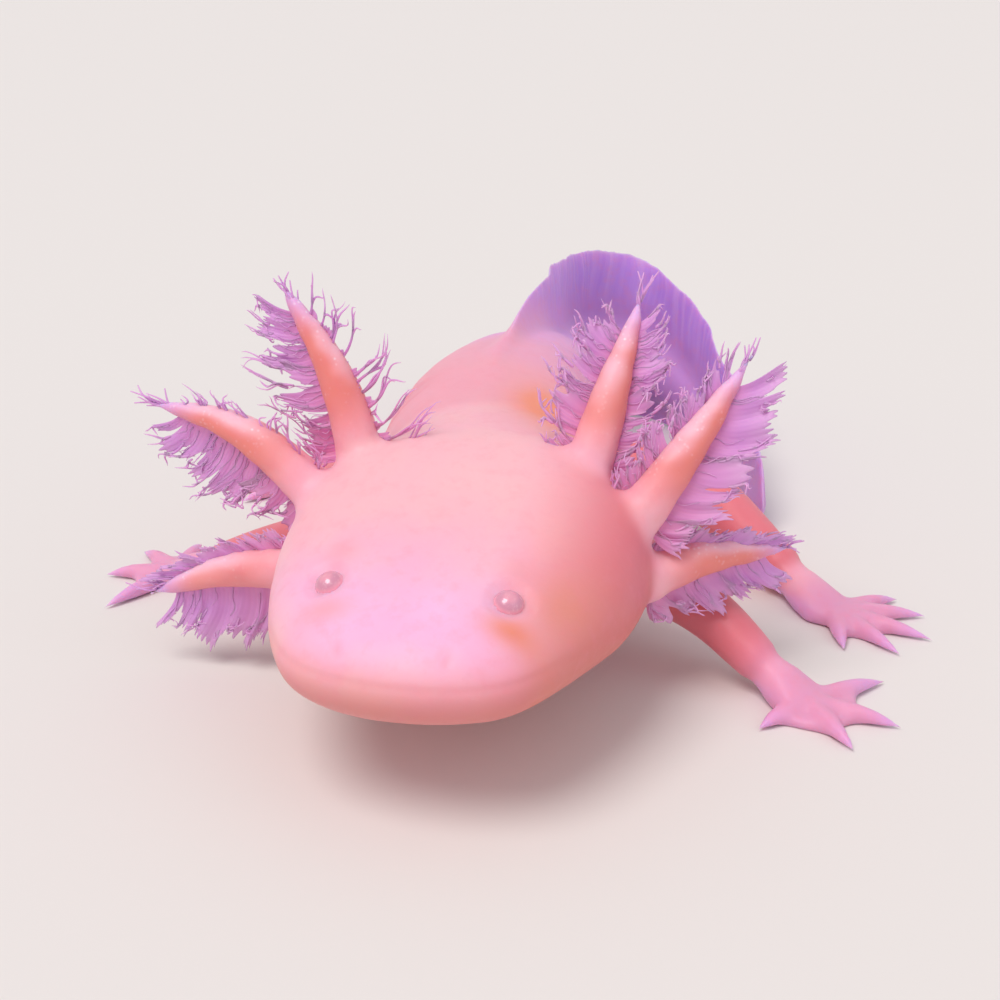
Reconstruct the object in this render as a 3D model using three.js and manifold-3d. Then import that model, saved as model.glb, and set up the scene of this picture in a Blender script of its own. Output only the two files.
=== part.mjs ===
// A life-size axolotl at rest: head lifted on spread front legs and turned to its right, trunk sinking to
// the floor behind it, tail hooked round to its left. Millimetres, +Z up, floor at Z = 0, snout towards -Y.

import * as THREE from 'three';
import { ParametricGeometry } from 'three/addons/geometries/ParametricGeometry.js';
import { mergeVertices } from 'three/addons/utils/BufferGeometryUtils.js';
import Module from 'manifold-3d';

const wasm = await Module();
wasm.setup();

// Driving dimensions. Distances along the body run from the snout tip.
const gap = 0.3; // clear space between neighbouring solids
const noseRound = 4.5; // length over which the snout rounds off
const tailRound = 5; // length over which the tail tip rounds off
const boxiness = 0.86; // 1 gives oval sections, less gives squarer ones
const bodySides = 24;
const tailSides = 12;
const limbSides = 8;

const headEnd = 36;
const neckEnd = 44;
const trunkEnds = [58, 75, 93];
const tailEnds = [118, 148];

// rise is how far the lip line climbs to the corner of the mouth, which lies depth behind the snout
const mouth = { level: 15.6, rise: 0.5, depth: 16 };
const jawBlock = { width: 60, height: 30, ahead: 10 };
const eye = { radius: 1.55, along: 11, aside: 8.85, proud: 0.6, sides: 12, rings: 7 };

// sunk is how far down a fin is rooted, from the body's widest line at 0 to its back or underside at 1
const fin = { sunk: 0.6, edge: 0.9, root: 1.6, ruffle: 0.5, ruffles: 11, rows: 8, sides: 6 };
const dorsalStart = 50;
const ventralStart = 96;

// digitLine gives a digit's height at shares of its reach
const foot = { wrist: 2.2, palm: 3.6, palmHeight: 1.5, front: 0.7, flatness: 0.5, rows: 3 };
const digit = { root: 1.3, tip: 0.7, rows: 3, sides: 5 };
const digitLine = [[0.05, 0.9], [0.55, 1.1], [1, 0.35]];
// The web joins the digits as far as toDigit of their reach, and as toMiddle halfway between them
const web = { toDigit: 0.62, toMiddle: 0.5, height: 1.1 };

const stalk = { base: 3.0, middle: 2.1, tip: 0.6, rows: 6 };
const fringe = { start: 0.1, thickness: 0.9, sweep: 0.3, notch: 0.8, rows: 9, sides: 4 };
const floorBlock = { side: 400, depth: 40 };

// The line of the back in plan, from snout to tail tip
const spinePlan = [
  [-10.4, -22], [-7, -8.5], [-3.4, 6], [-1.4, 19], [-1.2, 33], [0.4, 46], [3.4, 57.5], [6.6, 68],
  [8.8, 78], [10.6, 88.5], [15, 98], [22.6, 100], [29.4, 92], [33.4, 78], [35.4, 63], [35.8, 48],
];

// Body sections: distance from the snout, half width, heights of the underside, the widest line and the back
const bodySections = [
  [0, 10.4, 11.6, 15.2, 18.8],
  [4, 12.4, 10.9, 15.0, 19.6],
  [11, 15.7, 9.8, 14.8, 21.8],
  [18, 18.0, 8.8, 14.8, 24.2],
  [25, 19.2, 7.8, 15.0, 26.6],
  [31, 19.0, 7.0, 15.4, 28.0],
  [36, 16.4, 6.0, 15.2, 28.2],
  [43, 14.2, 4.0, 14.2, 28.0],
  [52, 14.2, 1.4, 12.6, 28.0],
  [64, 14.2, -0.4, 11.6, 28.2],
  [76, 12.8, -0.5, 11.2, 27.4],
  [86, 11.0, -0.4, 10.8, 25.6],
  [95, 8.0, 1.4, 11.0, 23.0],
  [106, 6.0, 3.6, 11.8, 21.0],
  [122, 4.6, 4.6, 11.2, 18.0],
  [136, 3.6, 4.2, 9.2, 14.4],
  [150, 2.6, 3.2, 6.4, 9.8],
  [170, 1.6, 2.6, 4.6, 6.6],
  [190, 1.0, 2.0, 3.2, 4.6],
];

// Fin margins: distance from the snout, heights of the upper and lower edges. The lower fin is trimmed by
// the floor it rests on.
const finMargins = [
  [50, 28.2, -0.3],
  [66, 29.6, -0.3],
  [78, 31.2, -0.3],
  [88, 33.0, -0.3],
  [100, 32.8, -0.3],
  [114, 30.8, -0.3],
  [126, 29.4, -0.3],
  [136, 26.6, -0.3],
  [147, 22.4, -0.3],
  [160, 17.0, -0.3],
  [175, 12.4, -0.2],
  [190, 8.4, 0.6],
];

// Legs: joint centres from the body outwards, with the radii there. Digits are [bearing in degrees, reach]
// from the middle of the palm or sole, the bearing counted from +X towards +Y.
const legs = {
  front_left: {
    joints: [[7, 22, 13], [22, 13, 7.6], [29, 6, 3]],
    radii: [4.8, 3.5, 2.5],
    palm: [32.6, 2.4],
    digits: [[-142, 7.4], [-69, 9.4], [-24, 10.4], [30, 11.6]],
  },
  front_right: {
    joints: [[-8, 24, 13], [-25, 27.5, 8.5], [-36.5, 33, 3]],
    radii: [4.8, 3.4, 2.4],
    palm: [-41, 35.4],
    digits: [[85, 10.5], [129, 10.3], [176, 9.8], [230, 11.8]],
  },
  hind_left: {
    joints: [[6, 59, 9], [25.4, 46, 8.4], [36, 30.4, 2.8]],
    radii: [5.8, 4.1, 2.8],
    palm: [40, 24],
    digits: [[28, 10.6], [1, 11.6], [-30, 12.4], [-59, 11.6], [-92, 8.6]],
  },
  hind_right: {
    joints: [[0, 61, 9], [-17, 52, 8.4], [-25.6, 62, 2.8]],
    radii: [5.8, 4.1, 2.8],
    palm: [-30, 66],
    digits: [[98, 8.6], [127, 10.8], [155, 12], [184, 11.2], [214, 9]],
  },
};

// Gills: the stalk's line from inside the head to its tip, and the fringe above and below it as its widest
// reach and the shares of an arch at which its outline begins and ends, the arch being highest at 0.5
const gills = {
  right_upper: {
    line: [[-14.4, 13.5, 22], [-17.2, 14.8, 33], [-23.6, 18, 43.5]],
    fringes: [[7.6, 0.44, 0.99], [7.4, 0.14, 0.93]],
  },
  right_middle: {
    line: [[-16.8, 10.4, 19], [-27.6, 13.6, 27.8], [-38.8, 18.6, 29.4]],
    fringes: [[2.6, 0.2, 0.9], [9.2, 0.14, 0.92]],
  },
  right_lower: {
    line: [[-18, 9, 13], [-28.5, 11.6, 12.6], [-39.6, 14, 8.2]],
    fringes: [[1.6, 0.12, 0.85], [6.4, 0.14, 0.88]],
  },
  left_upper: {
    line: [[8.4, 8.6, 22], [11.6, 12.4, 32.2], [15.2, 17.6, 42]],
    fringes: [[6.4, 0.06, 0.94], [4.6, 0.12, 0.93]],
  },
  left_middle: {
    line: [[11.6, 4.6, 17.6], [18.4, 7.2, 26.6], [26.4, 12, 37]],
    fringes: [[3.2, 0.14, 0.92], [5.6, 0.12, 0.92]],
  },
  left_lower: {
    line: [[12, 3.4, 13.6], [21, 7.4, 15.6], [32, 11.6, 15]],
    fringes: [[1.2, 0.12, 0.85], [4.6, 0.1, 0.82]],
  },
};

// Finishes

const pinkSkin = () => new THREE.MeshStandardMaterial({ color: 0xf4a9a8, roughness: 0.42, metalness: 0 });
const paleSkin = () => new THREE.MeshStandardMaterial({ color: 0xeec6dc, roughness: 0.4, metalness: 0 });
const gillSkin = () => new THREE.MeshStandardMaterial({ color: 0xef8f7c, roughness: 0.45, metalness: 0 });
const fringeSkin = () => new THREE.MeshStandardMaterial({ color: 0xb878b4, roughness: 0.5, metalness: 0 });
const finSkin = () => new THREE.MeshStandardMaterial({ color: 0xb493c4, roughness: 0.4, metalness: 0 });
const eyeball = () => new THREE.MeshStandardMaterial({ color: 0xd9a5ae, roughness: 0.12, metalness: 0 });

// Solids

function table(rows) {
  const places = Float32Array.from(rows, (row) => row[0]);
  const values = Float32Array.from(rows.flatMap((row) => row.slice(1)));
  const curve = new THREE.CubicInterpolant(places, values, rows[0].length - 1);
  const end = places[places.length - 1];
  return (place) => [...curve.evaluate(THREE.MathUtils.clamp(place, 0, end))];
}

function manifoldOf(positions, triangles) {
  return new wasm.Manifold(new wasm.Mesh({ numProp: 3, vertProperties: positions, triVerts: triangles }));
}

// A closed geometry as a solid that faces outwards, without the slivers where a row of points meets in one
function solidOf(geometry) {
  const bare = geometry.clone();
  bare.deleteAttribute('normal');
  bare.deleteAttribute('uv');
  const merged = mergeVertices(bare, 1e-4);
  const corners = merged.index.array;
  const kept = [];
  for (let i = 0; i < corners.length; i += 3) {
    const [a, b, c] = corners.slice(i, i + 3);
    if (a !== b && b !== c && c !== a) kept.push(a, b, c);
  }
  const positions = merged.attributes.position.array;
  const solid = manifoldOf(positions, Uint32Array.from(kept));
  return solid.volume() > 0 ? solid : manifoldOf(positions, Uint32Array.from(kept.reverse()));
}

function geometryOf(solid) {
  const { vertProperties, triVerts } = solid.getMesh();
  const geometry = new THREE.BufferGeometry();
  geometry.setAttribute('position', new THREE.BufferAttribute(vertProperties, 3));
  geometry.setIndex(new THREE.BufferAttribute(triVerts, 1));
  return geometry;
}

// A solid through rows of rings. ring(along, angle, point) sets a point, along running 0 to 1; each end is
// closed on the middle of its ring.
function loft(ring, rows, sides) {
  const opposite = new THREE.Vector3();
  const surface = (u, v, point) => {
    const row = v * (rows + 2) - 1;
    const along = THREE.MathUtils.clamp(row / rows, 0, 1);
    const isEnd = row < -0.5 || row > rows + 0.5;
    ring(along, isEnd ? 0 : 2 * Math.PI * (u % 1), point);
    if (!isEnd) return;
    ring(along, Math.PI, opposite);
    point.lerp(opposite, 0.5);
  };
  return solidOf(new ParametricGeometry(surface, sides, rows + 2));
}

const { side, depth } = floorBlock;
const underFloor = solidOf(new THREE.BoxGeometry(side, side, depth).translate(0, 0, -depth / 2));
const restOnFloor = (solid) => solid.subtract(underFloor);
const { lerp } = THREE.MathUtils;
const bulge = (value, power) => Math.sign(value) * Math.abs(value) ** power;
const roundOff = (place, length) => Math.sqrt(1 - (1 - THREE.MathUtils.clamp(place / length, 0, 1)) ** 2);

// A size that runs from the first of three values through the second, halfway, to the third
const taper = ([first, middle, last], place) => (
  place < 0.5 ? lerp(first, middle, 2 * place) : lerp(middle, last, 2 * place - 1)
);

// Body

const spine = new THREE.CatmullRomCurve3(spinePlan.map(([x, y]) => new THREE.Vector3(x, y, 0)));
spine.arcLengthDivisions = 800;
const bodyLength = spine.getLength();
const sectionAt = table(bodySections);
const marginsAt = table(finMargins);

// A point beside the spine: along it, to its left as the animal faces, and at a height
function beside(along, aside, height, point = new THREE.Vector3()) {
  const place = THREE.MathUtils.clamp(along / bodyLength, 0, 1);
  const heading = spine.getTangentAt(place);
  spine.getPointAt(place, point);
  return point.set(point.x + aside * heading.y, point.y - aside * heading.x, height);
}

function bodyPoint(along, angle, grow, point) {
  const [halfWidth, under, middle, back] = sectionAt(along);
  const round = roundOff(along, noseRound) * roundOff(bodyLength - along, tailRound);
  const reach = Math.sin(angle) > 0 ? back - middle : middle - under;
  const aside = round * (halfWidth + grow) * bulge(Math.cos(angle), boxiness);
  return beside(along, aside, middle + round * (reach + grow) * bulge(Math.sin(angle), boxiness), point);
}

// A length of the body between two places on the spine. Rows crowd towards the snout, where the head rounds
// off.
function bodyPiece(from, to, rows, sides, grow = 0) {
  const crowd = from < noseRound ? 1.6 : 1;
  const ring = (along, angle, point) => bodyPoint(from + (to - from) * along ** crowd, angle, grow, point);
  return loft(ring, rows, sides);
}

// The body a gap larger all round, which cuts whatever grows from it
const frontCutter = bodyPiece(12, 64, 18, bodySides, gap);
const backCutter = bodyPiece(neckEnd, 104, 14, bodySides, gap);
const tailCutter = bodyPiece(90, bodyLength, 30, tailSides, gap);

// Head

const snout = beside(0, 0, 0);
const headTurn = Math.atan2(spine.getTangentAt(0).y, spine.getTangentAt(0).x) - Math.PI / 2;

// An eyeball set into the head's surface, square to it, on the left (side 1) or right (side -1)
function eyeBall(side, grow = 0) {
  const angleOnLeft = Math.acos((eye.aside / sectionAt(eye.along)[0]) ** (1 / boxiness));
  const angle = side > 0 ? angleOnLeft : Math.PI - angleOnLeft;
  const surfaceAt = (ahead, turn) => bodyPoint(eye.along + ahead, angle + turn, 0, new THREE.Vector3());
  const centre = surfaceAt(0, 0);
  const onward = surfaceAt(1, 0).sub(centre);
  const around = surfaceAt(0, 0.02).sub(centre);
  const outwards = onward.cross(around).normalize();
  if (outwards.z < 0) outwards.negate();
  centre.addScaledVector(outwards, eye.proud - eye.radius);
  const ball = new THREE.SphereGeometry(eye.radius + grow, eye.sides, eye.rings);
  return solidOf(ball.translate(centre.x, centre.y, centre.z));
}

// The block of space that the lower jaw fills, open a gap wider for the head above it
function jawSpace(grow) {
  const { width, height, ahead } = jawBlock;
  const length = mouth.depth + ahead;
  const block = new THREE.BoxGeometry(width, length, height);
  block.translate(0, mouth.depth - length / 2 + grow, mouth.level - height / 2 + grow);
  return solidOf(block.rotateX(mouth.rise / mouth.depth).rotateZ(headTurn).translate(snout.x, snout.y, 0));
}

const wholeHead = bodyPiece(0, headEnd, 16, bodySides);

function headSolid() {
  return wholeHead.subtract(jawSpace(gap)).subtract(eyeBall(1, gap)).subtract(eyeBall(-1, gap));
}

// Fins

// A thin upright blade between two places, from a root inside the body to its margin, which waves from side
// to side
function finBlade(from, to, rows, isUpper) {
  const ring = (along, angle, point) => {
    const place = from + (to - from) * along;
    const [, under, middle, back] = sectionAt(place);
    const [upper, lower] = marginsAt(place);
    const root = lerp(middle, isUpper ? back : under, fin.sunk);
    const margin = middle + roundOff(bodyLength - place, tailRound) * ((isUpper ? upper : lower) - middle);
    const rise = (1 - Math.cos(angle)) / 2;
    const thickness = lerp(fin.root, fin.edge, Math.min(1, 2 * rise));
    const phase = (2 * Math.PI * fin.ruffles * place) / bodyLength;
    const wave = isUpper ? fin.ruffle * rise ** 3 * Math.sin(phase) : 0;
    const aside = wave + 0.5 * thickness * bulge(Math.sin(angle), 0.4);
    beside(place, aside, lerp(root, margin, rise), point);
  };
  return loft(ring, rows, fin.sides);
}

// Legs

const vector = (xyz) => new THREE.Vector3(...xyz);
const skyward = new THREE.Vector3(0, 0, 1);

// A tapered bar along a curve, between two fractions of it. It is round unless flatnessAt is under 1.
function bar(curve, radiusAt, from, to, rows, sides, flatnessAt = () => 1) {
  const across = new THREE.Vector3();
  const up = new THREE.Vector3();
  const ring = (along, angle, point) => {
    const place = from + (to - from) * along;
    const heading = curve.getTangentAt(place);
    across.crossVectors(heading, skyward).normalize();
    up.crossVectors(across, heading);
    const radius = radiusAt(place);
    curve.getPointAt(place, point);
    point.addScaledVector(across, radius * Math.cos(angle));
    point.addScaledVector(up, radius * flatnessAt(place) * Math.sin(angle));
  };
  return loft(ring, rows, sides);
}

function legPiece({ joints, radii }, from, to, rows) {
  const curve = new THREE.CatmullRomCurve3(joints.map(vector));
  const inset = gap / 2 / curve.getLength();
  const radiusAt = (place) => taper(radii, place);
  return bar(curve, radiusAt, from + (from > 0 ? inset : 0), to - (to < 1 ? inset : 0), rows, limbSides);
}

// A digit on the floor from the middle of the palm outwards, rounded at its tip
function digitSolid(middle, bearing, reach) {
  const heading = new THREE.Vector3(1, 0, 0).applyAxisAngle(skyward, bearing);
  const at = ([share, height]) => middle.clone().addScaledVector(heading, share * reach).setZ(height);
  const line = new THREE.CatmullRomCurve3(digitLine.map(at));
  const radiusAt = (place) => lerp(digit.root, digit.tip, place) * roundOff(1.001 - place, 0.08);
  return bar(line, radiusAt, 0, 1, digit.rows, digit.sides);
}

// The web between the digits, one flat sheet from the middle of the palm
function webSolid(middle, digits) {
  const at = (bearing, reach) => (
    new THREE.Vector2(reach, 0).rotateAround(new THREE.Vector2(), THREE.MathUtils.degToRad(bearing))
  );
  const outline = [at(0, 0)];
  digits.forEach(([bearing, reach], i) => {
    outline.push(at(bearing, web.toDigit * reach));
    if (i === digits.length - 1) return;
    const [nextBearing, nextReach] = digits[i + 1];
    outline.push(at((bearing + nextBearing) / 2, (web.toMiddle * (reach + nextReach)) / 2));
  });
  const asSheet = { depth: web.height, bevelEnabled: false };
  const sheet = new THREE.ExtrudeGeometry(new THREE.Shape(outline), asSheet);
  return solidOf(sheet.translate(middle.x, middle.y, 0));
}

// Palm or sole with its digits, cut flat where it rests on the floor
function footSolid({ joints, palm, digits }) {
  const wrist = vector(joints[joints.length - 1]);
  const middle = new THREE.Vector3(palm[0], palm[1], foot.palmHeight / 2);
  const beyond = middle.clone().sub(wrist).setZ(0).setLength(foot.palm * foot.front);
  const front = middle.clone().add(beyond).setZ(foot.palmHeight / 3);
  const sole = new THREE.CatmullRomCurve3([wrist, middle, front]);
  const widening = (place) => Math.min(1, 1.4 * place);
  const radiusAt = (place) => lerp(foot.wrist, foot.palm, widening(place)) * roundOff(1.02 - place, 0.3);
  const flatnessAt = (place) => lerp(1, foot.flatness, widening(place));
  const inset = gap / sole.getLength();
  let solid = bar(sole, radiusAt, inset, 1, foot.rows, limbSides, flatnessAt);
  for (const [bearing, reach] of digits) {
    solid = solid.add(digitSolid(middle, THREE.MathUtils.degToRad(bearing), reach));
  }
  return restOnFloor(solid.add(webSolid(middle, digits)));
}

// Gills

const headAxis = spine.getTangentAt(0);
const stalkRadius = (place) => taper([stalk.base, stalk.middle, stalk.tip], place);

function stalkSolid({ line }) {
  const curve = new THREE.CatmullRomCurve3(line.map(vector));
  const radiusAt = (place) => stalkRadius(place) * roundOff(1.001 - place, 0.04);
  return bar(curve, radiusAt, 0, 1, stalk.rows, limbSides);
}

// How wide a fringe is along its stalk
const fan = (along, [reach, begin, end]) => reach * Math.sin(Math.PI * lerp(begin, end, along)) ** 0.7;

// A blade along one side of a stalk, notched where its filaments end
function fringeSolid({ line, fringes }, side) {
  const curve = new THREE.CatmullRomCurve3(line.map(vector));
  const outline = fringes[side > 0 ? 0 : 1];
  const outwards = new THREE.Vector3();
  const ring = (along, angle, point) => {
    const place = lerp(fringe.start, 1, along);
    const heading = curve.getTangentAt(place);
    outwards.crossVectors(heading, headAxis).normalize();
    if (outwards.z * side < 0) outwards.negate();
    const isNotch = Math.round(along * fringe.rows) % 2 === 1;
    const width = fan(along, outline) * (isNotch ? fringe.notch : 1);
    const across = (1 - Math.cos(angle)) / 2;
    curve.getPointAt(place, point);
    point.addScaledVector(outwards, stalkRadius(place) + gap + across * width);
    point.addScaledVector(heading, across * width * fringe.sweep);
    point.addScaledVector(headAxis, 0.5 * fringe.thickness * bulge(Math.sin(angle), 0.4));
  };
  return loft(ring, fringe.rows, fringe.sides);
}

// The model

const axolotl = new THREE.Group();

function addPart(name, solid, material) {
  const mesh = new THREE.Mesh(geometryOf(solid), material);
  mesh.name = name;
  axolotl.add(mesh);
}

addPart('head', headSolid(), pinkSkin());
addPart('lower_jaw', wholeHead.intersect(jawSpace(0)), pinkSkin());
addPart('eye_left', eyeBall(1), eyeball());
addPart('eye_right', eyeBall(-1), eyeball());
addPart('neck', bodyPiece(headEnd + gap, neckEnd, 3, bodySides), pinkSkin());

const trunkNames = ['trunk_front', 'trunk_middle', 'trunk_rear'];
trunkNames.forEach((name, i) => {
  const from = (i ? trunkEnds[i - 1] : neckEnd) + gap;
  addPart(name, restOnFloor(bodyPiece(from, trunkEnds[i], 5, bodySides)), pinkSkin());
});

const tailNames = ['tail_base', 'tail_middle', 'tail_end'];
const tailStops = [trunkEnds[2], ...tailEnds, bodyLength];
tailNames.forEach((name, i) => {
  addPart(name, bodyPiece(tailStops[i] + gap, tailStops[i + 1], 9, tailSides), pinkSkin());
});

const dorsalNames = ['fin_back', 'fin_tail_upper_base', 'fin_tail_upper_middle', 'fin_tail_upper_end'];
const dorsalStops = [dorsalStart, ...tailStops];
dorsalNames.forEach((name, i) => {
  const blade = finBlade(dorsalStops[i] + gap, dorsalStops[i + 1], fin.rows, true);
  addPart(name, blade.subtract(i ? tailCutter : backCutter), finSkin());
});

const ventralNames = ['fin_tail_lower_base', 'fin_tail_lower_middle', 'fin_tail_lower_end'];
const ventralStops = [ventralStart, ...tailEnds, bodyLength];
ventralNames.forEach((name, i) => {
  const blade = finBlade(ventralStops[i] + gap, ventralStops[i + 1], fin.rows, false);
  addPart(name, restOnFloor(blade.subtract(tailCutter)), finSkin());
});

for (const [name, leg] of Object.entries(legs)) {
  const isFront = name.startsWith('front');
  const [upper, lower, end] = isFront ? ['arm', 'forearm', 'hand'] : ['thigh', 'shank', 'foot'];
  const root = legPiece(leg, 0, 0.5, 4).subtract(isFront ? frontCutter : backCutter);
  addPart(`${upper}_${name}`, root, pinkSkin());
  addPart(`${lower}_${name}`, legPiece(leg, 0.5, 1, 4), pinkSkin());
  addPart(`${end}_${name}`, footSolid(leg), paleSkin());
}

for (const [name, gill] of Object.entries(gills)) {
  addPart(`gill_${name}`, stalkSolid(gill).subtract(frontCutter), gillSkin());
  addPart(`fringe_${name}_above`, fringeSolid(gill, 1).subtract(frontCutter), fringeSkin());
  addPart(`fringe_${name}_below`, fringeSolid(gill, -1).subtract(frontCutter), fringeSkin());
}

// The origin lies on the floor under the middle of the whole animal
const middleOfAll = new THREE.Box3().setFromObject(axolotl).getCenter(new THREE.Vector3());
axolotl.position.set(-middleOfAll.x, -middleOfAll.y, 0);

export default axolotl;
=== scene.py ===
# The looks of a life-size axolotl at rest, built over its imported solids. Metres, +Z up, snout towards -Y.

import math

import bmesh
import bpy
import numpy as np
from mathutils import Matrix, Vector, noise
from mathutils.kdtree import KDTree


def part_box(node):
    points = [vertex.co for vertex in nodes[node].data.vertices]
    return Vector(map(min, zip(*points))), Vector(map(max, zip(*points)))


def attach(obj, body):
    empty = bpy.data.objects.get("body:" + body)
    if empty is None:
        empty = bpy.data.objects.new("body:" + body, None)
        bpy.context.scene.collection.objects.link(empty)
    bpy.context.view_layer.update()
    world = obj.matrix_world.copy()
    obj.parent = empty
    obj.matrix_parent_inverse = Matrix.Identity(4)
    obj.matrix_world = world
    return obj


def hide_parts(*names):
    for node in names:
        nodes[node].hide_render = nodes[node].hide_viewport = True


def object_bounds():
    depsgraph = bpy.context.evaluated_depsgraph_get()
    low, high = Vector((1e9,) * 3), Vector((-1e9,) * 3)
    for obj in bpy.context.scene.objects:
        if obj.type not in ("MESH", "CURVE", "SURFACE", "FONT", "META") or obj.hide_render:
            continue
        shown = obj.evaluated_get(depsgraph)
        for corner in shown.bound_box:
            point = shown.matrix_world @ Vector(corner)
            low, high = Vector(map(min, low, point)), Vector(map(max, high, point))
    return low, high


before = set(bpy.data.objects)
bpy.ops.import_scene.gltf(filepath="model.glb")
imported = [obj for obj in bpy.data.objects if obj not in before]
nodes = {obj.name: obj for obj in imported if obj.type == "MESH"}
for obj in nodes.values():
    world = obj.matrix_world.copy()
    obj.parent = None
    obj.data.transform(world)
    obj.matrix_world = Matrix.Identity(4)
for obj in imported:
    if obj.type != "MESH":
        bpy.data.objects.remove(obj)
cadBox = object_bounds()
mm = 0.001
anyPhase = (0, 6.3)             # radians, about a full turn

sides = ("right", "left")
heights = ("upper", "middle", "lower")
legs = {"front_left": ("arm", "forearm", "hand"), "front_right": ("arm", "forearm", "hand"),
        "hind_left": ("thigh", "shank", "foot"), "hind_right": ("thigh", "shank", "foot")}
nodesOf = {
    "body": ["head", "lower_jaw", "neck", "trunk_front", "trunk_middle", "trunk_rear",
             "tail_base", "tail_middle", "tail_end"],
    "limb": [f"{part}_{leg}" for leg, parts in legs.items() for part in parts[:2]],
    "foot": [f"{parts[2]}_{leg}" for leg, parts in legs.items()],
    "stalk": [f"gill_{side}_{height}" for side in sides for height in heights],
    "fin": ["fin_back"] + [f"fin_tail_{edge}_{part}" for edge in ("upper", "lower")
                           for part in ("base", "middle", "end")],
}
fleshNodes = [name for names in nodesOf.values() for name in names]
spineNodes = nodesOf["body"][2:]


# General helpers

def say(stage):
    print("axolotl:", stage, flush=True)


# sRGB hex to a linear colour
def linear(hexColour):
    channels = [int(hexColour[i:i + 2], 16) / 255 for i in (1, 3, 5)]
    return tuple(c / 12.92 if c < 0.04045 else ((c + 0.055) / 1.055) ** 2.4 for c in channels) + (1.0,)


def smooth(low, high, value):
    share = np.clip((value - low) / (high - low), 0, 1)
    return share * share * (3 - 2 * share)


def bell(value, width):
    return np.exp(-(value / width) ** 2)


def unit(vectors):
    return vectors / np.maximum(np.linalg.norm(vectors, axis=-1, keepdims=True), 1e-12)


# What a mesh stores for each of its points, edges or corners
def stored(elements, name, width, numberType=np.float32):
    values = np.empty(len(elements) * width, numberType)
    elements.foreach_get(name, values)
    return values.reshape(-1, width)


def pointsOf(mesh):
    return stored(mesh.vertices, "co", 3).astype(float)


def normalsOf(mesh):
    return stored(mesh.vertex_normals, "vector", 3).astype(float)


def setPoints(mesh, points):
    mesh.vertices.foreach_set("co", points.astype(np.float32).ravel())
    mesh.update()


def nodePoints(name):
    return pointsOf(nodes[name].data)


def newObject(name, data):
    piece = bpy.data.objects.new(name, data)
    bpy.context.scene.collection.objects.link(piece)
    return piece


def evaluated(piece):
    bpy.context.view_layer.update()
    return bpy.data.meshes.new_from_object(piece.evaluated_get(bpy.context.evaluated_depsgraph_get()))


# Index of the nearest of some places to each point
def nearest(points, places):
    tree = KDTree(len(places))
    for index, place in enumerate(places):
        tree.insert(place, index)
    tree.balance()
    return np.array([tree.find(point)[1] for point in points])


# Soft seeded noise, -1 to 1, from crossing sine waves of about that size and finer ones
def waves(points, size):
    octaves, crossing, finer = 3, 4, 1.9
    field = np.zeros(len(points))
    turn = np.random.default_rng(int(size * 1e6) + octaves)
    for octave in range(octaves):
        for _ in range(crossing):
            direction = unit(turn.normal(size=3)) * 2 * math.pi / (size / finer ** octave)
            field += np.sin(points @ direction + turn.uniform(*anyPhase)) / finer ** octave
    return field / np.abs(field).max()


# Soft irregular lumps of about that size, -1 to 1
def lumps(points, size):
    return np.array([noise.noise(point) for point in points / size])


# Points at shares of the length of a line
def along(line, share):
    steps = np.linalg.norm(np.diff(line, axis=0), axis=1)
    place = np.concatenate([[0], np.cumsum(steps)]) / steps.sum()
    return np.stack([np.interp(share, place, line[:, axis]) for axis in range(3)], -1)


# Points up the middle of a solid, from its end nearest a place to its far end
def centreLine(name, start, slices, toTip):
    points = nodePoints(name)
    distance = np.linalg.norm(points - start, axis=1)
    far, near = points[distance.argmax()], points[distance.argmin()]
    place = (points - near) @ unit(far - near)
    edges = np.linspace(place.min(), place.max(), slices + 1)
    slack = 1e-6
    rows = [points[(place >= low - slack) & (place <= high + slack)] for low, high in zip(edges, edges[1:])]
    line = np.array([row.mean(0) for row in rows if len(row)])
    line[1:-1] = (line[:-2] + 2 * line[1:-1] + line[2:]) / 4
    if toTip:
        line[-1] = far
    return line


# Several parts, each with points and faces first, as one set of points and faces
def joined(parts):
    firsts = np.cumsum([0] + [len(part[0]) for part in parts]).tolist()
    faces = [tuple(corner + first for corner in face)
             for part, first in zip(parts, firsts) for face in part[1]]
    return np.vstack([part[0] for part in parts]), faces


def storeMask(mesh, name, values):
    layer = mesh.attributes.new(name, "FLOAT", "POINT")
    layer.data.foreach_set("value", np.clip(values, 0, 1).astype(np.float32))


def shadeSmooth(mesh):
    mesh.polygons.foreach_set("use_smooth", np.ones(len(mesh.polygons), bool))


# Averages over the neighbours of each point of a mesh
class Graph:
    def __init__(self, mesh):
        edges = stored(mesh.edges, "vertices", 2, np.int32)
        self.count = len(mesh.vertices)
        self.first = np.concatenate([edges[:, 0], edges[:, 1]])
        self.second = np.concatenate([edges[:, 1], edges[:, 0]])
        self.degree = np.maximum(np.bincount(self.first, minlength=self.count), 1)

    def mean(self, values):
        if values.ndim == 1:
            return np.bincount(self.first, values[self.second], self.count) / self.degree
        return np.stack([self.mean(values[:, axis]) for axis in range(values.shape[1])], 1)

    def blur(self, values, rounds):
        for _ in range(rounds):
            values = 0.5 * (values + self.mean(values))
        return values

    # 1 where two owners meet
    def border(self, owner):
        mixed = np.zeros(self.count)
        mixed[self.first[owner[self.first] != owner[self.second]]] = 1
        return mixed

    # Moves the points that have more than a hair's share towards the middle of their neighbours
    def relax(self, points, share, rounds):
        leastShare = 0.004
        moving = np.flatnonzero(share > leastShare)
        place = np.full(self.count, -1)
        place[moving] = np.arange(len(moving))
        chosen = place[self.first] >= 0
        first, second = place[self.first[chosen]], self.second[chosen]
        degree, share = self.degree[moving], share[moving]
        points = points.copy()
        for _ in range(rounds):
            for axis in range(3):
                mean = np.bincount(first, points[second, axis], len(moving)) / degree
                points[moving, axis] += share * (mean - points[moving, axis])
        return points


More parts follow.
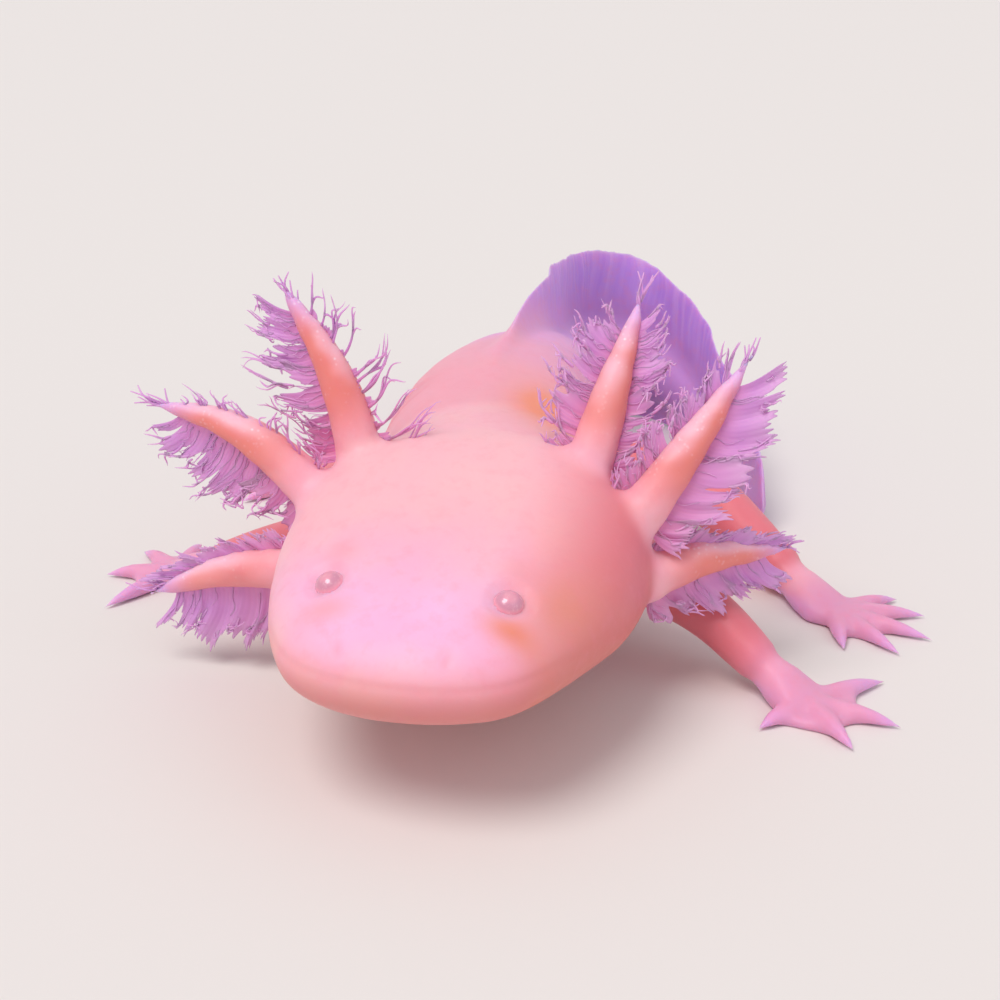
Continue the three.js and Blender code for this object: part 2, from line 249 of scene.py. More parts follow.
# Skin: one surface over every solid of flesh

skinSettings = {
    "voxel": 0.32 * mm,
    "flat": 14,                 # degrees between facets that count as one face
    "crease": 50,               # degrees between faces that stay an edge
    # How far each kind stands out of its solids, and how strongly and for how long it is smoothed
    "grow": {"body": 0.19 * mm, "limb": 0.17 * mm, "foot": 0.12 * mm, "stalk": 0.17 * mm,
             "fin": 0.2 * mm, "eye": 0.2 * mm},
    "calm": {"body": 0.6, "limb": 0.5, "foot": 0.16, "stalk": 0.4, "fin": 0.2},
    "rounds": {"all": 44, "seams": 52, "wrists": 60, "muzzle": 420, "fin": 32, "backFin": 70},
    "settle": 0.14 * mm,        # how far the finished skin draws back in
    "lipRound": 3.4 * mm,       # height of the band of lip that is rounded off
    "lipFull": 0.45 * mm,       # what the rounding took, put back
    "mouthDepth": 0.08 * mm,
    "mouthWidth": 0.4 * mm,
    "nostrilAside": 5.2 * mm,
    "nostrilUp": 2.4 * mm,
    "nostrilDepth": 0.1 * mm,
    "grooveStep": 5.2 * mm,     # from one costal groove to the next
    "grooveDepth": 0.26 * mm,
    "fleshLumps": ((0.14 * mm, 7 * mm), (0.03 * mm, 2.6 * mm)),     # height and size
    "stalkLumps": (0.16 * mm, 2.2 * mm),
    "ruffle": 0.2 * mm,         # waves in the thin part of the fin
    "ruffleStep": 1.9 * mm,
    "eyeShown": 1.45 * mm,      # radius of the eye that shows
    "eyeRim": 0.05 * mm,        # height of the rim, then how far out it is and how wide
    "rimPlace": (0.35 * mm, 0.3 * mm),
    "eyeBlend": 1.5 * mm,       # over which the skin rises to the eye
    "underEye": 0.14 * mm,      # between the eye and the skin that passes under it
    "boxClear": 0.05 * mm,      # between the skin and the solids' own box
}


# A node's surface with its facets rounded through the same points, then grown a little
def roundedCopy(name, grow):
    shape = bmesh.new()
    shape.from_mesh(nodes[name].data)
    bmesh.ops.remove_doubles(shape, verts=shape.verts, dist=1e-6)
    flat, crease = math.radians(skinSettings["flat"]), math.radians(skinSettings["crease"])
    bmesh.ops.join_triangles(shape, faces=shape.faces, angle_face_threshold=flat,
                             angle_shape_threshold=crease)
    creases = shape.edges.layers.float.new("crease_edge")
    for edge in shape.edges:
        sharp = len(edge.link_faces) == 2 and edge.calc_face_angle() > crease
        edge[creases] = 1.0 if sharp else 0.0
    mesh = bpy.data.meshes.new(name + "_round")
    shape.to_mesh(mesh)
    shape.free()
    copy = newObject(name + "_round", mesh)
    divide = copy.modifiers.new("divide", "SUBSURF")
    divide.levels = 2
    # Subdividing pulls each corner in, so it starts as far out, up to a limit
    corners = pointsOf(mesh)
    pulledIn = pointsOf(evaluated(copy))[:len(corners)] - corners
    length = np.linalg.norm(pulledIn, axis=1, keepdims=True)
    mostPulled = 0.5 * mm
    pulledIn *= np.minimum(1, mostPulled / np.maximum(length, 1e-9))
    setPoints(mesh, corners - pulledIn)
    rounded = evaluated(copy)
    bpy.data.objects.remove(copy)
    return pointsOf(rounded) + normalsOf(rounded) * grow, [tuple(face.vertices) for face in rounded.polygons]


# The rounded copies in one mesh, and the node that each point comes from. The eyes are there only to close
# their sockets, and count as the head.
def joinedFlesh():
    parts, owner = [], []
    kinds = dict(nodesOf, eye=[f"eye_{side}" for side in sides])
    for kindName, names in kinds.items():
        for name in names:
            parts.append(roundedCopy(name, skinSettings["grow"][kindName]))
            owner += [fleshNodes.index("head" if kindName == "eye" else name)] * len(parts[-1][0])
    points, faces = joined(parts)
    mesh = bpy.data.meshes.new("flesh")
    mesh.from_pydata(points, [], faces)
    return mesh, np.array(owner)


fleshMesh, fleshOwner = joinedFlesh()
fleshPoints = pointsOf(fleshMesh)
flesh = newObject("flesh", fleshMesh)
remesh = flesh.modifiers.new("skin", "REMESH")
remesh.mode = "VOXEL"
remesh.voxel_size = skinSettings["voxel"]
skinMesh = evaluated(flesh)
skinMesh.name = "skin"
bpy.data.objects.remove(flesh)
skin = pointsOf(skinMesh)
owners = fleshOwner[nearest(skin, fleshPoints)]
graph = Graph(skinMesh)
say(f"skin meshed, {len(skin)} points")


def ownedBy(names):
    return np.isin(owners, [fleshNodes.index(name) for name in names]).astype(float)


def on(kindName):
    return ownedBy(nodesOf[kindName])


kindOfNode = [number for number, names in enumerate(nodesOf.values()) for _ in names]
kind = np.array(kindOfNode)[owners]
calm = np.array(list(skinSettings["calm"].values()))[kind]
rounds = skinSettings["rounds"]
junction = np.clip(graph.blur(graph.border(kind), 20) * 6, 0, 1)
seams = np.clip(graph.blur(graph.border(owners), 8) * 4, 0, 1)
onFin, onFoot, onStalk, onLimb = on("fin"), on("foot"), on("stalk"), on("limb")
onHead = ownedBy(["head", "lower_jaw"])
onTrunk = ownedBy(["neck", "trunk_front", "trunk_middle", "trunk_rear"])
onTail = ownedBy(["tail_base", "tail_middle", "tail_end"])
skin = graph.relax(skin, graph.blur(calm, 4), rounds["all"])
joins = np.maximum(seams * (1 - 0.3 * onFin), junction) * (1 - 0.5 * onFoot)
skin = graph.relax(skin, 0.5 * joins, rounds["seams"])
wrists = np.clip(graph.blur(graph.border(onFoot), 24) * 8, 0, 1)
skin = graph.relax(skin, 0.6 * wrists, rounds["wrists"])
say("skin smoothed")

# Head frame: forwards, across to the animal's left, and the place of each eye
eyeBoxes = {side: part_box(f"eye_{side}") for side in sides}
eyeCentres = {side: np.array((low + high) / 2) for side, (low, high) in eyeBoxes.items()}
eyeRadius = (eyeBoxes["left"][1].x - eyeBoxes["left"][0].x) / 2
across = unit((eyeCentres["left"] - eyeCentres["right"]) * [1, 1, 0])
ahead = np.array([across[1], -across[0], 0])
if ahead[1] > 0:
    ahead = -ahead
jawPoints = nodePoints("lower_jaw")
snoutTip = (jawPoints @ ahead).max()
midline = ((eyeCentres["left"] + eyeCentres["right"]) / 2) @ across
jawTop = jawPoints[:, 2].max() + 0.15 * mm
jawLength = snoutTip - (jawPoints @ ahead).min()
headLow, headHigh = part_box("head")
headMiddle = np.array((headLow + headHigh) / 2)


# Distance behind the snout, to the left of the midline, and above the lip line
def headPlace(points):
    return snoutTip - points @ ahead, points @ across - midline, points[:, 2] - jawTop


# The two jaws become one rounded muzzle
behind, aside, aboveLip = headPlace(skin)
lipBand = onHead * bell(aboveLip, skinSettings["lipRound"])
lipBand *= 1 - smooth(jawLength, jawLength + 4 * mm, behind)
skin = graph.relax(skin, 0.7 * graph.blur(lipBand, 4), rounds["muzzle"])
setPoints(skinMesh, skin)

# Body frame: distance from the head along the spine, and the way across it at each point
spine = [headMiddle]
spineStart = {}
for name in spineNodes:
    spineStart[name] = len(spine)
    spine.extend(centreLine(name, spine[-1], 5, False))
spineStep = np.linalg.norm(np.diff(spine, axis=0), axis=1)
spineLength = np.concatenate([[0], np.cumsum(spineStep)])
spineStart = {name: spineLength[index] for name, index in spineStart.items()}
spineShares = np.linspace(0, 1, 400)
spinePoints = along(np.array(spine), spineShares)
spineHeading = unit(np.gradient(spinePoints, axis=0) * [1, 1, 0])
spineAcross = np.stack([-spineHeading[:, 1], spineHeading[:, 0], np.zeros(len(spinePoints))], 1)
inPlan = np.array([1, 1, 0])
bodyPlace = nearest(skin * inPlan, spinePoints * inPlan)
alongBody = graph.blur(spineShares[bodyPlace] * spineLength[-1], 16)
acrossBody = unit(graph.blur(spineAcross[bodyPlace], 30))

# How far each point of the fin is from the body's own solids
bodyOnly = np.isin(fleshOwner, [fleshNodes.index(name) for name in nodesOf["body"]])
bodyPoints = fleshPoints[bodyOnly]
finPoints = np.flatnonzero(onFin)
offBody = np.zeros(len(skin))
closest = bodyPoints[nearest(skin[finPoints], bodyPoints)]
offBody[finPoints] = np.linalg.norm(skin[finPoints] - closest, axis=1)
offBody = graph.blur(offBody, 6)

# How far each point rises along its normal
normals = normalsOf(skinMesh)
rise = skinSettings["lipFull"] * lipBand

# The closed mouth: a fine crease that fades out towards its corners
closed = onHead * (1 - smooth(jawLength - 8 * mm, jawLength - 2 * mm, behind))
rise -= closed * skinSettings["mouthDepth"] * bell(aboveLip, skinSettings["mouthWidth"])

# Nostrils, wide apart on the front of the snout
nostril = np.hypot(np.abs(aside) - skinSettings["nostrilAside"], aboveLip - skinSettings["nostrilUp"])
nostril[behind > 6 * mm] = 1
rise -= onHead * skinSettings["nostrilDepth"] * bell(nostril, 0.6 * mm)

# Grooves down the flanks between the ribs, fading out on back and belly, and along the tail
flank = (onTrunk + onTail) * smooth(0.3, 0.85, np.abs((normals * acrossBody).sum(1)))
flank *= smooth(spineStart["trunk_front"] + 2 * mm, spineStart["trunk_front"] + 12 * mm, alongBody)
flank *= 1 - smooth(spineStart["trunk_rear"], spineStart["tail_middle"], alongBody)
flank = graph.blur(flank * (1 - junction), 8)
phase = alongBody / skinSettings["grooveStep"] + 0.12 * waves(skin, 16 * mm)
groove = bell(phase - np.round(phase), 0.15)
rise -= skinSettings["grooveDepth"] * flank * groove

# Soft unevenness of flesh
uneven = graph.blur(onHead + onTrunk + onTail + onLimb, 12)
for height, size in skinSettings["fleshLumps"]:
    rise += height * lumps(skin, size) * uneven
height, size = skinSettings["stalkLumps"]
rise += height * lumps(skin, size) * graph.blur(onStalk, 6)
rise -= skinSettings["settle"] * (1 - graph.blur(onFoot, 12))
skin = skin + normals * rise[:, None]

# The thin part of the fin waves from side to side, with a worn, uneven margin
thin = smooth(1.5 * mm, 5 * mm, offBody)
ripple = np.sin(alongBody / skinSettings["ruffleStep"] + 3 * waves(skin, 24 * mm))
ripple += 0.6 * lumps(skin, 1.5 * mm)
skin += acrossBody * (skinSettings["ruffle"] * ripple * thin * onFin)[:, None]
skin = graph.relax(skin, 0.45 * graph.blur(onFin, 4), rounds["fin"])
onBackFin = ownedBy(["fin_back"])
skin = graph.relax(skin, 0.5 * graph.blur(onBackFin, 16), rounds["backFin"])
setPoints(skinMesh, skin)
say("body shaped")

# The skin meets each eye in a soft low rim, and passes under it
normals = normalsOf(skinMesh)
shown, blend = skinSettings["eyeShown"], skinSettings["eyeBlend"]
rimOut, rimWidth = skinSettings["rimPlace"]
rimLevel = math.sqrt(eyeRadius ** 2 - shown ** 2)
eyeOutwards = {}
for side, centre in eyeCentres.items():
    around = np.linalg.norm(skin - centre, axis=1) < 4 * mm
    outwards = unit(normals[around].mean(0))
    eyeOutwards[side] = outwards
    offset = skin - centre
    level = offset @ outwards
    radial = np.linalg.norm(offset - level[:, None] * outwards, axis=1)
    natural = np.median(level[around & (radial > shown) & (radial < shown + 1 * mm)])
    say(f"{side} eye: skin {natural / mm:.2f} mm and rim {rimLevel / mm:.2f} mm above its middle")
    under = np.sqrt(np.maximum(eyeRadius ** 2 - radial ** 2, 0)) - skinSettings["underEye"]
    share = smooth(shown, shown + blend, radial)
    seat = rimLevel * (1 - share) + level * share
    seat += skinSettings["eyeRim"] * bell(radial - shown - rimOut, rimWidth)
    inside = 1 - smooth(shown - 0.3 * mm, shown, radial)
    target = under * inside + seat * (1 - inside)
    change = np.where((radial < shown + blend) & (level > -0.5 * mm), target - level, 0)
    skin += change[:, None] * outwards

# It lies on the floor on small flats, and nowhere outside the solids' own box
boxLow = np.array(cadBox[0]) + skinSettings["boxClear"]
boxHigh = np.array(cadBox[1]) - skinSettings["boxClear"]
boxLow[2] = 0
skin[:, 2] -= skinSettings["boxClear"]
skin = np.clip(skin, boxLow, boxHigh)
setPoints(skinMesh, skin)


# Masks that the skin's material reads

stalkLines = {name: centreLine(name, headMiddle, 9, True) for name in nodesOf["stalk"]}
upStalk = np.zeros(len(skin))
for name, line in stalkLines.items():
    chosen = owners == fleshNodes.index(name)
    heading = line[-1] - line[0]
    upStalk[chosen] = (skin[chosen] - line[0]) @ heading / (heading @ heading)

behind, aside, aboveLip = headPlace(skin)
normals = normalsOf(skinMesh)
softAlong = graph.blur(alongBody, 400)  # so that no colour turns sharply where the body bends
towardsTail = smooth(spineStart["trunk_middle"] - 3 * mm, spineStart["tail_base"] + 4 * mm, softAlong)
towardsTail *= 1 - onHead - onStalk
flankFacing = smooth(0.2, 0.9, np.abs((normals * acrossBody).sum(1)))


# A mask over the skin, blurred for that many rounds
def mark(name, values, blurring):
    storeMask(skinMesh, name, graph.blur(values, blurring))


# 1 at a place on the head and fading out round it, seen from above
def headSpot(place, width, lengthwise=1):
    offset = skin - place
    return onHead * bell(np.hypot(offset @ ahead / lengthwise, offset @ across), width)


# Hands and feet, and the thin ends of their toes
footMiddles = [nodePoints(name).mean(0) for name in nodesOf["foot"]]
footReach = np.min([np.linalg.norm(skin - middle, axis=1) for middle in footMiddles], axis=0)
mark("hand", (onFoot + onLimb) * (1 - smooth(4 * mm, 12 * mm, footReach)), 16)
lowDown = 1 - smooth(1.6 * mm, 2.8 * mm, skin[:, 2])
mark("finger", onFoot * lowDown * smooth(3.5 * mm, 8 * mm, footReach), 8)

# Tail and fin, lilac towards their far end
mark("fin", onFin * smooth(0.5 * mm, 7 * mm, offBody), 16)
mark("tail", np.clip((onTail + onTrunk + onFin) * towardsTail, 0, 1), 60)
farTail = smooth(spineStart["tail_base"] - 2 * mm, spineStart["tail_middle"] + 4 * mm, softAlong)
mark("farTail", (onTail + onFin) * farTail, 40)
bend = 0.8 * mm * waves(skin, 9 * mm)  # so that the fin's rays aren't ruled lines
mark("finPlace", (alongBody + bend) / spineLength[-1], 0)
mark("margin", onFin * smooth(0.01, 0.12, 1 - np.linalg.norm(graph.mean(normals), axis=1)), 4)

# Gill stalks, with a pale tip and a painted highlight along their upper side
paler = 1 - 0.3 * ownedBy(["gill_right_lower"])
mark("stalk", paler * onStalk * smooth(0.0, 0.35, upStalk), 10)
mark("stalkTip", onStalk * smooth(0.62, 1.0, upStalk), 5)
# Painted highlight on the upward-facing side of each stalk
mark("ridge", onStalk * smooth(0.15, 0.5, upStalk) * smooth(0.2, 0.8, normals[:, 2]), 3)

# Head and trunk
# Below the lip line: painted shade, warmed by painted orange light thrown up from the floor
mark("jaw", onHead * (1 - smooth(-3.4 * mm, 1.6 * mm, aboveLip)), 30)
# Painted shade along the crease of the closed mouth
mark("lipCreaseShade", closed * bell(aboveLip, 0.4 * mm), 2)
# Painted shade in the nostril pits
mark("nostril", onHead * bell(nostril, 0.45 * mm), 1)
rosy = smooth(spineStart["neck"] + 3 * mm, spineStart["trunk_front"] + 9 * mm, alongBody)
mark("trunk", (onTrunk + onTail + onBackFin) * rosy * (1 - towardsTail ** 2), 30)
crown = smooth(12 * mm, 24 * mm, behind) * onHead + 0.5 * onTrunk * (1 - towardsTail)
mark("crown", crown * smooth(0.2, 0.9, normals[:, 2]), 24)
# The muzzle: its own cooler lilac-pink and a painted broad sheen of reflected light
mark("snout", onHead * (1 - smooth(5 * mm, 21 * mm, behind)) * smooth(-1 * mm, 4 * mm, aboveLip), 28)
# Darker pink: on the head's left side and the trunk's flanks it is painted shade, where they turn from the
# light; on the limbs it is their own rosier tone
shadedSides = np.maximum(onHead * smooth(6 * mm, 18 * mm, aside), onTrunk * flankFacing * (1 - towardsTail))
mark("coralAndShade", np.maximum(shadedSides, onLimb), 36)
mark("belly", onTrunk * smooth(0.3, 0.9, -normals[:, 2]), 20)

# A fleck below each eye and painted shade behind it, pale patches between them, and painted shade low on the
# left of the face
underEye = np.zeros(len(skin))
browShade = np.zeros(len(skin))
for side, strength, forwards in (("left", 1.0, 3.7 * mm), ("right", 0.45, 4.4 * mm)):
    fleck = eyeCentres[side] + ahead * forwards + across * 1.2 * mm
    underEye += strength * headSpot(fleck, 2.6 * mm, 0.6)
    browShade += headSpot(eyeCentres[side] - ahead * 3.0 * mm, 1.7 * mm)
mark("underEye", underEye, 4)
mark("browShade", browShade, 6)
pale = np.zeros(len(skin))
betweenEyes = (eyeCentres["left"] + eyeCentres["right"]) / 2
for asideBy, forwards in ((-5.2 * mm, 4.6 * mm), (2.8 * mm, 3.6 * mm)):
    pale += headSpot(betweenEyes + across * asideBy + ahead * forwards, 3.0 * mm)
mark("pale", pale, 10)
# Painted shade low on the left of the face, warm where light glows through the flesh
mark("cheekShade", onHead * bell(behind - 12 * mm, 6 * mm) * bell(aboveLip - 4 * mm, 4.5 * mm)
     * smooth(7 * mm, 14 * mm, aside), 14)

# One patch on the left shoulder, longer than it is wide
shoulderLow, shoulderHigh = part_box("trunk_front")
patch = np.array([shoulderLow.x * 0.27 + shoulderHigh.x * 0.73, shoulderLow.y + 3.4 * mm, shoulderHigh.z])
patchSize = np.array([3.6, 6.5, 7]) * mm
reach = np.linalg.norm((skin - patch) / patchSize, axis=1)
mark("backPatch", np.clip(1.5 * bell(reach, 1), 0, 1) * (onTrunk + onHead), 8)

axolotlSkin = newObject("axolotl_skin", skinMesh)
shadeSmooth(skinMesh)
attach(axolotlSkin, "root")
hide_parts(*fleshNodes)
say("skin marked")


# Gill filaments: down both edges of each stalk a thin folded veil with a frayed margin, and out of the veil
# strands that fork into fine curling tips

filamentSettings = {
    "sweep": 0.2,               # how far a filament leans to the tip, as a share of the stalk
    "arch": 0.13,
    "forward": 0.3 * mm,        # how far the fringe stands before the middle of its stalk
    "foldDepth": 0.3 * mm,
    "foldStep": 2.6 * mm,
    "ridgeDepth": 0.05 * mm,
    "ridgeStep": 0.46 * mm,
    "stalkThick": (1.45 * mm, 0.55 * mm),   # at a stalk's foot and at its tip
    "offFloor": 0.3 * mm,
    "firstSeed": 100,
    "veil": {"grid": (420, 14), "thickness": 0.13 * mm, "thinning": 0.7, "uneven": (-0.2, 0.16),
             "notchWidth": 0.35 * mm, "notchDepth": (0.2, 0.6)},
    "strand": {"forks": 3, "forkAt": (0.1, 0.5), "rows": 22, "sides": 6, "radius": 0.15 * mm,
               "tip": 0.07 * mm, "curl": 0.9 * mm, "spread": 0.85 * mm, "lean": 0.8 * mm,
               "fullLength": 6 * mm},
    "thread": {"rows": 12, "sides": 4, "radius": 0.05 * mm, "tip": 0.035 * mm,
               "reach": (0.5, 1.0), "curl": 0.4 * mm, "lift": (0.06 * mm, 0.12 * mm)},
    "wisp": {"count": 9, "rows": 14, "sides": 6, "rooted": (0.8, 0.97), "reach": (1.6 * mm, 3.4 * mm),
             "splay": (0.6 * mm, 1.8 * mm), "bend": 0.25 * mm},
}
filamentLow = boxLow + [0, 0, filamentSettings["offFloor"]]

# How full an edge is: the share of its reach that is veil, the notches in the veil and how strong its fine
# ridges are, how many threads and strands it has, where along their reach the strands leave the veil, and
# how much of the fringe they reach
edgeStyles = {
    "open": {"veil": 0.34, "notches": 8, "ridge": 1, "threads": 30, "strands": 14, "start": (0.02, 0.1),
             "reach": (0.72, 1.1)},
    "full": {"veil": 0.78, "notches": 7, "ridge": 0.7, "threads": 36, "strands": 22, "start": (0.45, 0.68),
             "reach": (0.86, 1.12)},
    "leafy": {"veil": 0.98, "notches": 2, "ridge": 0.3, "threads": 14, "strands": 13, "start": (0.6, 0.85),
              "reach": (0.94, 1.1)},
}


def edgeStyle(stalkName, edge):
    if stalkName.endswith("lower") or (stalkName, edge) == ("gill_left_middle", "below"):
        return edgeStyles["leafy"]
    if "right" in stalkName and edge == "above":
        return edgeStyles["open"]
    return edgeStyles["full"]


# Values that drift with the share up an edge, through evenly spaced knots
def drift(knots, share):
    return np.interp(share, np.linspace(0, 1, len(knots)), knots)


# The far edge of a fringe solid from root to tip, with the share up the stalk of each point, which passes 1
# where the fringe runs on past the tip
def outerEdge(name, line, slices=12):
    points = nodePoints(name)
    heading = line[-1] - line[0]
    place = (points - line[0]) @ heading / (heading @ heading)
    reach = np.linalg.norm(points - along(line, np.clip(place, 0, 1)), axis=1)
    step = (place.max() - place.min()) / slices
    found = []
    for low in place.min() + step * np.arange(slices):
        chosen = np.flatnonzero((place >= low) & (place <= low + step))
        if len(chosen):
            best = chosen[reach[chosen].argmax()]
            found.append((place[best], *points[best]))
    found = np.array(sorted(found))
    return found[:, 0], found[:, 1:]


# One edge of a stalk: where a filament of each share up the edge is rooted and how far it may reach
class Fringe:
    def __init__(self, stalkName, edge, turn):
        self.style = edgeStyle(stalkName, edge)
        self.turn = turn
        self.line = stalkLines[stalkName]
        self.place, self.edge = outerEdge(f"{stalkName.replace('gill', 'fringe')}_{edge}", self.line)
        self.heading = unit(self.line[-1] - self.line[0])
        self.length = np.linalg.norm(self.line[-1] - self.line[0])
        self.wander = turn.uniform(-1, 1, 12)

    # Root and far end of filaments, which way is forwards, and which way they point
    def at(self, share):
        target = self.place.min() + share * (self.place.max() - self.place.min())
        end = np.stack([np.interp(target, self.place, self.edge[:, axis]) for axis in range(3)], -1)
        rooted = np.clip(target - filamentSettings["sweep"] * (0.4 + 0.6 * target), 0.03, 0.97)
        root = along(self.line, rooted)
        out = end - root
        out -= (out @ self.heading)[..., None] * self.heading
        front = unit(np.cross(out, self.heading))
        front *= np.where(front @ ahead < 0, -1, 1)[..., None]
        foot, tip = filamentSettings["stalkThick"]
        thick = tip + (foot - tip) * (1 - rooted[..., None])
        root = root + unit(out) * 0.45 * thick - front * 0.35 * thick
        return root, end, front, unit(out)

    # Broad folds and fine ridges of the fringe, each -1 to 1, which run outwards
    def folds(self, share):
        turns = 2 * math.pi * self.length * share
        wander = drift(self.wander, share)
        return (np.sin(turns / filamentSettings["foldStep"] + 2.4 * wander),
                np.sin(turns / filamentSettings["ridgeStep"] + 9 * wander))

    # Points out along filaments, and the way they face. All but outwards hold a value for each filament and
    # step: share up the edge, reach as a share of the fringe, and offsets forwards and up the stalk.
    def path(self, share, outwards, reach, forwards, upwards):
        root, end, front, out = self.at(share)
        t = (outwards * reach)[..., None]
        span = end - root
        size = np.linalg.norm(span, axis=-1, keepdims=True)
        arch = self.heading * size * filamentSettings["arch"] * np.sin(math.pi * np.minimum(t, 1))
        aside = unit(np.cross(front, out))
        broad, fine = self.folds(share)
        raised = filamentSettings["foldDepth"] * broad
        raised = raised + filamentSettings["ridgeDepth"] * self.style["ridge"] * fine
        forwards = forwards + filamentSettings["forward"] + raised * np.minimum(outwards * reach, 1)
        return root + span * t - arch + front * forwards[..., None] + aside * upwards[..., None], front


# Strands drawn back towards their roots until they are inside the solids' box
def keptInside(paths):
    spare = filamentSettings["strand"]["radius"]
    root = paths[:, :1]
    offset = paths - root
    room = np.where(offset > 0, boxHigh - spare - root, filamentLow + spare - root)
    share = np.divide(room, offset, out=np.ones(offset.shape), where=np.abs(offset) > 1e-7)
    return root + offset * np.clip(share.min((1, 2), keepdims=True), 0.05, 1)


# Closed flat strands along paths of shape (strand, row, 3), which face a given way
def strandMesh(paths, facing, widths, heights, sideCount):
    count, rows = widths.shape
    heading = unit(np.gradient(paths, axis=1))
    aside = unit(np.cross(heading, facing))
    facing = np.cross(aside, heading)
    angle = (np.arange(sideCount) * 2 * math.pi / sideCount)[:, None]
    ring = (aside * widths[..., None])[:, :, None] * np.cos(angle)
    ring = ring + (facing * heights[..., None])[:, :, None] * np.sin(angle)
    points = paths[:, :, None] + ring
    index = np.arange(count * rows * sideCount).reshape(count, rows, sideCount)
    turned = np.roll(index, -1, axis=2)
    quads = np.stack([index[:, :-1], turned[:, :-1], turned[:, 1:], index[:, 1:]], -1).reshape(-1, 4)
    caps = [tuple(row[::-1]) for row in index[:, 0]] + [tuple(row) for row in index[:, -1]]
    return points.reshape(-1, 3), [tuple(quad) for quad in quads] + caps


# A closed thin sheet through a grid of points, offset to both sides along normals
def sheetMesh(grid, offset):
    rows, columns, _ = grid.shape
    points = np.concatenate([(grid + offset).reshape(-1, 3), (grid - offset).reshape(-1, 3)])
    index = np.arange(rows * columns).reshape(rows, columns)
    quads = np.stack([index[:-1, :-1], index[1:, :-1], index[1:, 1:], index[:-1, 1:]], -1).reshape(-1, 4)
    other = quads[:, ::-1] + rows * columns
    rim = np.concatenate([index[:, 0], index[-1, 1:], index[-2::-1, -1], index[0, -2:0:-1]])
    nextRim = np.roll(rim, -1)
    wall = np.stack([nextRim, rim, rim + rows * columns, nextRim + rows * columns], -1)
    return points, [tuple(face) for face in np.concatenate([quads, other, wall])]


# The makers of an edge's pieces each give points, faces, share outwards, tint and share up the edge

# The veil: folds and ridges run outwards, and notches cut in from its margin between the ridges
def veil(fringe):
    settings, turn = filamentSettings["veil"], fringe.turn
    lengthwise, outwards = settings["grid"]
    share = np.linspace(0.01, 0.99, lengthwise)[:, None]
    t = np.linspace(0, 1, outwards)[None]
    broad, fine = fringe.folds(share)
    kept = 1 + drift(turn.uniform(*settings["uneven"], 30), share) + 0.05 * fine
    for _ in range(fringe.style["notches"]):
        width = settings["notchWidth"] / fringe.length * turn.uniform(0.6, 1.6)
        depth = turn.uniform(*settings["notchDepth"])
        kept = kept - depth * bell(share - turn.uniform(0.05, 0.95), width)
    reach = fringe.style["veil"] * np.maximum(kept, 0.2)
    grid, _ = fringe.path(share + 0 * t, t + 0 * share, reach + 0 * t, 0 * share * t, 0 * share * t)
    normal = unit(np.cross(np.gradient(grid, axis=0), np.gradient(grid, axis=1)))
    thickness = settings["thickness"] * (1 - settings["thinning"] * t)[..., None] / 2
    points, faces = sheetMesh(grid, normal * thickness)
    tint = 0.4 + 0.25 * broad + 0.35 * fringe.style["ridge"] * fine + 0 * t
    both = [np.tile(values.ravel(), 2) for values in (0.75 * t * reach, tint, share + 0 * t)]
    return points, faces, *both


# Strands of those radii, which count as this far out where they start
def strandPiece(turn, paths, facing, radii, sideCount, share, inner):
    count, rows = radii.shape
    points, faces = strandMesh(keptInside(paths), facing, radii, radii, sideCount)
    outwards = inner + (1 - inner) * np.linspace(0, 1, rows)[None] + 0 * radii
    outwards = np.repeat(outwards.ravel(), sideCount)
    tint = np.repeat(turn.uniform(0, 0.5, count), rows * sideCount)
    return points, faces, outwards, tint, np.repeat(share, rows * sideCount)


# Strands that leave the veil or the stalk, each forking into a few curling tips
def strands(fringe):
    settings, style, turn = filamentSettings["strand"], fringe.style, fringe.turn
    number, forks = style["strands"], settings["forks"]

    # The same value for all branches of a strand
    def perStrand(low, high):
        return np.repeat(turn.uniform(low, high, number), forks)[:, None]

    stem = (np.arange(number) + turn.uniform(0.1, 0.9, number)) / number
    stem = np.repeat(stem, forks)[:, None]
    count = len(stem)
    t = np.linspace(0, 1, settings["rows"])[None]
    fork = perStrand(*settings["forkAt"])
    apart = smooth(fork, 1.05, t)  # how far the branches have parted
    start, full = perStrand(*style["start"]), perStrand(*style["reach"])
    full = full * (1 - turn.uniform(0, 0.3, (count, 1)) * apart)
    outwards = start + (full - start) * t
    # Short strands, and those that leave the veil far out, curl less and are thinner
    root, end, _, _ = fringe.at(stem)
    size = np.minimum(1, np.linalg.norm(end - root, axis=-1) / settings["fullLength"]) * (1 - 0.5 * start)
    curl = settings["curl"] * size * t ** 1.3
    own = settings["spread"] * size * apart * turn.normal(0, 1, (2, count, 1))
    bends = np.sin(turn.uniform(4, 9, (count, 1)) * t + turn.uniform(*anyPhase, (count, 1)))
    kink = settings["curl"] * 0.5 * size * apart * bends
    lean = settings["lean"] * size * t * np.repeat(turn.normal(size=number), forks)[:, None]
    upwards = curl * np.sin(perStrand(2, 7) * t + perStrand(*anyPhase)) + own[0] + kink + lean
    forwards = 0.6 * (curl * np.sin(perStrand(2, 7) * t + perStrand(*anyPhase)) + own[1])
    paths, facing = fringe.path(stem + 0 * t, outwards, 1 + 0 * t, forwards, upwards)
    taper = (1 - 0.3 * apart) * smooth(-0.15, 0.2, t) * (1 - t) + settings["tip"] / settings["radius"]
    radii = settings["radius"] * taper * (1 - 0.6 * smooth(0.9, 1, t)) * turn.uniform(0.75, 1.15, (count, 1))
    # Before it forks a strand is one stem, with its other branches hidden in it
    first = (np.arange(count) % forks == 0)[:, None]
    radii = radii * (0.55 + 0.45 * size) * np.where(first, 1, smooth(fork - 0.04, fork + 0.12, t) + 0.02)
    return strandPiece(turn, paths, facing, radii, settings["sides"], stem[:, 0], start)


